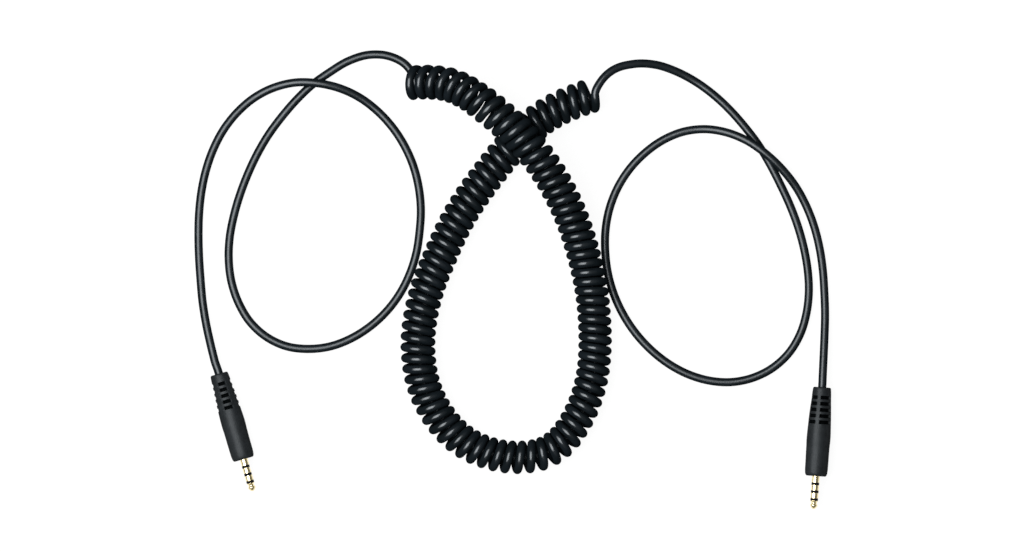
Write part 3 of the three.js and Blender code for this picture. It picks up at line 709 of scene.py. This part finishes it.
def insulator_material():
    g = Graph("black_insulator")
    speckle(
        g, g.tex(), dark=(0.0030, 0.0030, 0.0034), light=(0.0060, 0.0060, 0.0066),
        rough=(0.40, 0.55), grain=8.0, depth=0.008,
    )
    g.set(Specular_IOR_Level=g.facing(front=0.04, edge=0.0, span=(0.05, 0.5)))
    return g.mat


def inner_material(name, dark, light, rough, metallic=0.0):
    """For the pieces sealed inside the handle."""
    g = Graph(name)
    speckle(g, g.local(), dark, light, rough, grain=6.0, depth=0.01)
    g.set(Metallic=metallic)
    return g.mat


JACKET = jacket_material()
MOULDING = moulding_material()
GOLD = gold_material()
BLACK = insulator_material()
BRASS = inner_material(
    "contact_brass",
    dark=(0.55, 0.40, 0.16), light=(0.68, 0.52, 0.24), rough=(0.25, 0.4), metallic=1.0,
)
COPPER = inner_material(
    "bare_copper",
    dark=(0.60, 0.27, 0.13), light=(0.75, 0.36, 0.19), rough=(0.25, 0.4), metallic=1.0,
)
NATURAL = inner_material(
    "inner_mould", dark=(0.62, 0.59, 0.50), light=(0.72, 0.69, 0.60), rough=(0.4, 0.55)
)
GREEN = inner_material(
    "green_insulation", dark=(0.020, 0.13, 0.038), light=(0.034, 0.18, 0.055), rough=(0.35, 0.5)
)
RED = inner_material(
    "red_insulation", dark=(0.36, 0.016, 0.012), light=(0.48, 0.028, 0.02), rough=(0.35, 0.5)
)
WHITE = inner_material(
    "white_insulation", dark=(0.62, 0.62, 0.58), light=(0.74, 0.74, 0.70), rough=(0.35, 0.5)
)


# ---- plugs: local +Y runs along the axis towards the tip, 0 at the handle's front --------
def placer(side):
    """A function from local plug coordinates to the frame, in millimetres."""
    forward = unit(np.array([*PLUGS[side]["dir"], 0.0]))
    across = np.array([forward[1], -forward[0], 0.0])  # local +X before the roll
    up = np.array([0.0, 0.0, 1.0])
    roll = math.radians(PLUGS[side]["roll"])
    local_x = across * math.cos(roll) - up * math.sin(roll)
    local_z = across * math.sin(roll) + up * math.cos(roll)
    front = plug_point(side, HANDLE_L)

    def place(verts):
        return front + verts[:, :1] * local_x + verts[:, 1:2] * forward + verts[:, 2:3] * local_z

    return place


# The handle's outline from its rear to its front: [outer radius, y].
OUTER = np.array([
    [3.3, -HANDLE_L], [3.72, -40.42], [3.98, -40.18], [4.12, -39.8], [4.2, -38.9],
    [4.3, -37.8], [4.5, -34.4], [4.72, -31.8], [4.95, -28.6], [5.1, -26.2],
    [5.25, -22.6], [5.42, -18.6], [5.44, -16.4], [5.33, -13.6], [5.26, -9.0],
    [5.2, -3.0], [5.1, -1.7], [4.95, -0.9], [4.72, -0.38], [4.4, -0.08], [4.05, 0.0],
])


def outer_radius(y):
    """Monotone piecewise cubic through OUTER."""
    radii, places = OUTER[:, 0], OUTER[:, 1]
    spans, slopes = np.diff(places), np.diff(radii) / np.diff(places)
    rates = np.zeros(len(places))
    for i in range(1, len(places) - 1):
        if slopes[i - 1] * slopes[i] > 0:
            before = 2 * spans[i] + spans[i - 1]
            after = spans[i] + 2 * spans[i - 1]
            rates[i] = (before + after) / (before / slopes[i - 1] + after / slopes[i])
    rates[0], rates[-1] = slopes[0], slopes[-1]
    y = np.clip(np.asarray(y, float), places[0], places[-1])
    i = np.clip(np.searchsorted(places, y, side="right") - 1, 0, len(places) - 2)
    part = (y - places[i]) / spans[i]
    return (
        radii[i] * (1 + 2 * part) * (1 - part) ** 2
        + rates[i] * spans[i] * part * (1 - part) ** 2
        + radii[i + 1] * part * part * (3 - 2 * part)
        + rates[i + 1] * spans[i] * part * part * (part - 1)
    )


SLOT_PITCH = 2.8
SLOT_ROWS = [-35.8 + SLOT_PITCH * i for i in range(5)]
SLOT_W = 1.42
SLOT_HALF = {"left": math.radians(20.5), "right": math.radians(31.5)}
SLOT_DEEP = {"left": (1.5, 0.35), "right": (1.5, 1.2)}  # slots facing local +-Z, and +-X
EDGE = 0.16  # half-width of a slot's rounded wall
EDGE_ANGLE = math.radians(4.5)
EDGE_STEPS = np.array([-1, -0.66, -0.33, 0, 0.33, 0.66, 1.0])
BORE = 1.93
CAVITY_R = 3.95
CAVITY_BACK = -22.4
# The handle's inside, from the front face back through the cavity and the bore: (radius, y).
INNER = [
    (3.6, 0.0), (2.78, 0.0), (2.68, -0.04), (2.64, -0.14), (2.64, -1.2), (2.64, -2.3),
    (CAVITY_R, -2.3), (CAVITY_R, -6.0), (CAVITY_R, -12.0), (CAVITY_R, -18.0),
    (CAVITY_R, CAVITY_BACK), (BORE, CAVITY_BACK),
    *[(BORE, y) for y in np.linspace(-23.4, -39.9, 34)],
    (BORE + 0.05, -40.25), (BORE + 0.16, -40.44), (BORE + 0.3, -HANDLE_L), (2.8, -HANDLE_L),
]


def slot_depth(y, angle, slot_half):
    """0 outside the slots, 1 on their floors, at grids of distance y and angle."""
    row = np.zeros_like(y)
    for centre in SLOT_ROWS:
        row = np.maximum(row, smooth((SLOT_W / 2 + EDGE - np.abs(y - centre)) / (2 * EDGE)))
    off_centre = np.abs((angle + np.pi / 4) % (np.pi / 2) - np.pi / 4)
    return row * smooth((slot_half + EDGE_ANGLE - off_centre) / (2 * EDGE_ANGLE))


def skin_rows():
    """Distances of the skin's loops, closer together at the slots' walls."""
    rows = set(np.round(OUTER[:, 1], 4))
    rows |= set(np.round(np.linspace(-24, -1.2, 24), 4))
    for centre in SLOT_ROWS:
        for sign in (-1, 1):
            rows |= set(np.round(centre + sign * SLOT_W / 2 + EDGE_STEPS * EDGE, 4))
        rows |= {round(centre, 4), round(centre + SLOT_PITCH / 2, 4)}
    rows |= {-38.3, -37.3}
    rows = np.array(sorted(rows))
    return rows[np.concatenate([[True], np.diff(rows) > 0.025])]


def skin_angles(slot_half):
    """Angles from local +Z towards +X, closer together at the slots' ends."""
    angles = set()
    floor_half = slot_half - EDGE_ANGLE
    rib_half = np.pi / 4 - slot_half - EDGE_ANGLE
    for i in range(4):
        centre = i * np.pi / 2
        for sign in (-1, 1):
            angles |= set(np.round(centre + sign * slot_half + EDGE_STEPS * EDGE_ANGLE, 5))
        angles |= set(np.round(centre + np.linspace(-floor_half, floor_half, 9)[1:-1], 5))
        angles |= set(np.round(centre + np.pi / 4 + np.linspace(-1, 1, 5)[1:-1] * rib_half, 5))
    return np.array(sorted(angles))


def overmould(side, place):
    """Handle and strain relief in one moulding: outer skin with its slots, cavity and bore."""
    rows, angles = skin_rows(), skin_angles(SLOT_HALF[side])
    size = len(angles)
    y, angle = np.meshgrid(rows, angles, indexing="ij")
    # the soft skin is not perfectly round
    skin = outer_radius(y) + 0.02 * np.sin(3 * angle + 0.4 * y) * smooth((-1.5 - y) / 3)
    depth = slot_depth(y, angle, SLOT_HALF[side])
    faces_x = np.abs((angle + np.pi / 4) % np.pi - np.pi / 4) > np.pi / 4 + 1e-6
    skin = skin - depth * np.where(faces_x, SLOT_DEEP[side][1], SLOT_DEEP[side][0])
    radii = np.array(list(skin) + [np.full(size, row[0]) for row in INNER])
    places = np.array(list(y) + [np.full(size, row[1]) for row in INNER])
    verts = np.stack([radii * np.sin(angles), places, radii * np.cos(angles)], axis=-1)
    verts = verts.reshape(-1, 3)
    faces = outward(verts, tube_faces(len(radii), size, wrap=True))
    ob = make(side + "_overmould", place(verts), faces, MOULDING, verts, sharp=42)
    # slot depths, carried to the moulding's material for its painted shade in the slots
    slot_shade_depths = np.zeros((len(radii), size), np.float32)
    slot_shade_depths[: len(rows)] = depth
    point_attribute(ob.data, "depth", "FLOAT", "value", slot_shade_depths)
    return ob


# The turned pieces nest as tubes inside the shaft; profiles are (radius, y).
CHAMFER = 0.06
CONTACT_GAP = 0.01  # between a contact and an insulating band
BAND_SINK = 0.02  # the bands sit this far below the contacts
BAND_CHAMFER = 0.035
FLANGE_R = 2.6
FLANGE_BACK, FLANGE_FRONT = -2.2, -0.05


def contact_end(band):
    """Where the contact behind a band stops."""
    return band - BAND_HALF - CONTACT_GAP


def contact_start(band):
    """Where the contact in front of a band starts."""
    return band + BAND_HALF + CONTACT_GAP


def sleeve_profile(inner=1.46, back=-4.6):
    end = contact_end(BANDS[0])
    return [
        (inner, back),
        (SHAFT_R, back),
        (SHAFT_R, FLANGE_BACK),
        (FLANGE_R - CHAMFER, FLANGE_BACK),
        (FLANGE_R, FLANGE_BACK + CHAMFER),
        (FLANGE_R, FLANGE_FRONT - 2 * CHAMFER),
        (FLANGE_R - 2 * CHAMFER, FLANGE_FRONT),
        (SHAFT_R + 0.1, FLANGE_FRONT),
        (SHAFT_R, 0.05),
        (SHAFT_R, 0.9),
        (SHAFT_R, 1.8),
        (SHAFT_R, end - CHAMFER),
        (SHAFT_R - CHAMFER, end),
        (inner, end),
    ]


def ring_profile(inner, outer, back, band, next_band):
    start, end = contact_start(band), contact_end(next_band)
    return [
        (inner, back),
        (outer, back),
        (outer, start),
        (SHAFT_R - CHAMFER, start),
        (SHAFT_R, start + CHAMFER),
        (SHAFT_R, (band + next_band) / 2),
        (SHAFT_R, end - CHAMFER),
        (SHAFT_R - CHAMFER, end),
        (inner, end),
    ]


def tip_profile(pin=0.42, back=-10.8):
    start = contact_start(BANDS[2])
    return [
        (0, back), (pin, back), (pin, start), (SHAFT_R - CHAMFER, start),
        (SHAFT_R, start + CHAMFER), (SHAFT_R, 11.3),
        # the waist
        (1.71, 11.45), (1.58, 11.62), (1.36, 11.86), (1.24, 12.08), (1.2, 12.3),
        (1.24, 12.5), (1.38, 12.72), (1.55, 12.94), (1.66, 13.14), (1.69, 13.32),
        # the nose
        (1.66, 13.5), (1.56, 13.76), (1.38, 14.06), (1.14, 14.38), (0.88, 14.66),
        (0.62, 14.86), (0.36, 14.96), (0.16, 14.995), (0, SHAFT_L),
    ]


def insulator_profile(inner, outer, back, band):
    start, end = band - BAND_HALF, band + BAND_HALF
    surface = SHAFT_R - BAND_SINK
    return [
        (inner, back),
        (outer, back),
        (outer, start),
        (surface - BAND_CHAMFER, start),
        (surface, start + BAND_CHAMFER),
        (surface, end - BAND_CHAMFER),
        (surface - BAND_CHAMFER, end),
        (inner, end),
    ]


# Object and the CAD node it replaces, with its profile and the angle past which edges are hard.
CONTACTS = [
    ("sleeve", "sleeve_contact", sleeve_profile(), 30),
    ("ring_2", "ring_2_contact", ring_profile(1.05, 1.25, -6.6, *BANDS[:2]), 30),
    ("ring_1", "ring_1_contact", ring_profile(0.65, 0.85, -8.6, *BANDS[1:]), 30),
    ("tip", "tip_contact", tip_profile(), 40),
]
INSULATORS = [
    ("insulator_ring_2", "ring_2_insulator", insulator_profile(1.28, 1.43, -5.4, BANDS[0]), 30),
    ("insulator_ring_1", "ring_1_insulator", insulator_profile(0.88, 1.02, -7.4, BANDS[1]), 30),
    ("insulator_tip", "tip_insulator", insulator_profile(0.45, 0.62, -9.4, BANDS[2]), 30),
]
# The sealed pieces inside keep their CAD shape.
INSIDE = {
    "ground_clamp": BRASS,
    "ring_2_lug": BRASS,
    "ring_1_lug": BRASS,
    "tip_lug": BRASS,
    "ground_conductor": COPPER,
    "ring_2_conductor": GREEN,
    "ring_1_conductor": RED,
    "tip_conductor": WHITE,
    "inner_mould": NATURAL,
}


def plug(side):
    place = placer(side)
    for parts, material, slot in (
        (CONTACTS, GOLD, "gold_plating"),
        (INSULATORS, BLACK, "black_insulator"),
    ):
        for name, node, profile, sharp in parts:
            ob = lathe(f"{side}_{name}", profile, place, material, sharp)
            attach(ob, side + "_plug")
            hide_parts(f"{side}_{node}")

    skin = overmould(side, place)
    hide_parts(side + "_handle", side + "_strain_relief")
    flex_with_plug(skin)

    for node, material in INSIDE.items():
        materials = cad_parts[f"{side}_{node}"].data.materials
        materials.clear()
        materials.append(material)


plug("left")
plug("right")


# ---- coil and leads ----------------------------------------------------------------------
def coil_loop():
    """The part of the coil that stays put."""
    left, right = COIL_ENDS["left"], COIL_ENDS["right"]
    ob = cord(
        "coil_loop",
        ring_at_turn(left["cuts"][0] + left["half"]),
        ring_at_turn(right["cuts"][0] - right["half"]),
    )
    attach(ob, "loop")
    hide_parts(*["coil_loop_%02d" % i for i in range(1, 13)])


def coil_end_turns(side):
    """The coil's free end: a piece of cord round each cut."""
    half = COIL_ENDS[side]["half"]
    for i, cut in enumerate(COIL_ENDS[side]["cuts"], 1):
        ob = cord(f"{side}_coil_turns_{i}", ring_at_turn(cut - half), ring_at_turn(cut + half))
        bend(ob)
        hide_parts(f"coil_{side}_end_{i}")


def lead_cords(side, coil_body, coil_ring, exit_near, exit_far, end_ring):
    """The cord from the coil to the plug; ring numbers run down on the left, up on the right."""
    lead, tail = side + "_lead", side + "_tail"
    bend_near, bend_far = key[side + "_tail_near"], key[side + "_tail_far"]
    mouth = nearest(plug_point(side, -1.5), *sorted((bend_far, end_ring)))

    def piece(name, near, far):
        return cord(f"{side}_{name}", *sorted((near, far)))

    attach(piece("coil_tail", coil_ring, exit_near), coil_body)
    ob = piece("lead_exit", exit_near, exit_far)
    bend(ob)
    ob = piece("lead", exit_far, bend_near)
    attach(ob, lead)
    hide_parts(side + "_lead_loop")
    ob = piece("lead_bend", bend_near, bend_far)
    bend(ob)
    ob = piece("tail", bend_far, mouth)
    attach(ob, tail)
    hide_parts(side + "_lead_tail")
    flex_with_plug(piece("cord_end", mouth, end_ring))


coil_loop()
coil_end_turns("left")
coil_end_turns("right")

left_coil = COIL_ENDS["left"]
left_exit_ring = nearest(
    lead_point("left", LEADS["left"]["exit"]), key["left_exit_far"], COIL_START
)
lead_cords(
    "left",
    coil_body="left_coil_4",
    coil_ring=ring_at_turn(left_coil["cuts"][-1] - left_coil["half"]),
    exit_near=left_exit_ring + int(round(3.0 / EXIT_STEP)),
    exit_far=key["left_exit_far"] - 2,
    end_ring=0,
)
right_exit_ring = nearest(lead_point("right", right_exit), COIL_END, key["right_exit_far"])
exit_reach = int(round(7.0 / EXIT_STEP))
lead_cords(
    "right",
    coil_body="right_coil_3",
    coil_ring=COIL_END,
    exit_near=right_exit_ring - exit_reach,
    exit_far=right_exit_ring + exit_reach + 4,
    end_ring=LAST_RING,
)

# ---- floor, light and camera, in metres --------------------------------------------------
CENTRE = Vector((-3.21 * MM, 1.90 * MM, 0.0))  # what the light and the camera aim at
FLOOR_R = 3.0
FLOOR_SIDES = 48


def floor_material():
    g = Graph("studio_floor")
    coords = g.add("ShaderNodeTexCoord")
    grain = g.noise(coords.outputs["Object"], scale=600.0, detail=2)
    g.set(
        Base_Color=g.mix(grain, dark=(0.045, 0.045, 0.045), light=(0.055, 0.055, 0.055)),
        Roughness=0.7,
        Specular_IOR_Level=0.05,
        Emission_Color=(1.0, 1.0, 1.0),
        Emission_Strength=0.93,
    )
    return g.mat


def studio_floor():
    angles = [2 * math.pi * i / FLOOR_SIDES for i in range(FLOOR_SIDES)]
    verts = [(0, 0, 0)] + [(FLOOR_R * math.cos(a), FLOOR_R * math.sin(a), 0) for a in angles]
    faces = [(0, 1 + i, 1 + (i + 1) % FLOOR_SIDES) for i in range(FLOOR_SIDES)]
    mesh = bpy.data.meshes.new("studio_floor")
    mesh.from_pydata(verts, [], faces)
    mesh.materials.append(floor_material())
    floor = bpy.data.objects.new("studio_floor", mesh)
    bpy.context.scene.collection.objects.link(floor)


def studio_world():
    """White all round: dimmer in reflections, full white where the camera sees it."""
    world = bpy.data.worlds.new("studio")
    bpy.context.scene.world = world
    world.use_nodes = True
    tree = world.node_tree
    tree.nodes.clear()
    output = tree.nodes.new("ShaderNodeOutputWorld")
    path = tree.nodes.new("ShaderNodeLightPath")

    def background(strength):
        node = tree.nodes.new("ShaderNodeBackground")
        node.inputs["Color"].default_value = (1, 1, 1, 1)
        node.inputs["Strength"].default_value = strength
        return node

    def switch(ray, otherwise, chosen):
        node = tree.nodes.new("ShaderNodeMixShader")
        tree.links.new(path.outputs[ray], node.inputs[0])
        tree.links.new(otherwise.outputs[0], node.inputs[1])
        tree.links.new(chosen.outputs[0], node.inputs[2])
        return node

    lighting = switch(
        "Is Glossy Ray", otherwise=background(strength=0.60), chosen=background(strength=0.20)
    )
    seen = switch("Is Camera Ray", otherwise=lighting, chosen=background(strength=1.0))
    tree.links.new(seen.outputs[0], output.inputs["Surface"])


def softbox():
    """A large light overhead, set off towards -X."""
    direction = Vector((-0.42, 0.02, 1.0)).normalized()
    distance = 1.5
    light = bpy.data.lights.new("softbox", "AREA")
    light.shape = "RECTANGLE"
    light.size, light.size_y = 1.45, 1.40
    light.energy = 56.0
    light.color = (1, 1, 1)
    ob = bpy.data.objects.new("softbox", light)
    ob.location = CENTRE + direction * distance
    ob.rotation_mode = "QUATERNION"
    ob.rotation_quaternion = direction.to_track_quat("Z", "Y")
    bpy.context.scene.collection.objects.link(ob)


def camera():
    """Looks straight down, with +Y at the top of the picture."""
    height = 1.2
    data = bpy.data.cameras.new("camera")
    data.type = "ORTHO"
    data.ortho_scale = 0.460
    data.clip_start, data.clip_end = 0.01, 10
    ob = bpy.data.objects.new("camera", data)
    ob.location = CENTRE + Vector((0, 0, height))
    ob.rotation_euler = (0, 0, 0)
    bpy.context.scene.collection.objects.link(ob)
    bpy.context.scene.camera = ob


studio_floor()
studio_world()
softbox()
camera()
bpy.context.scene.view_settings.view_transform = "Standard"
bpy.context.scene.view_settings.look = "None"
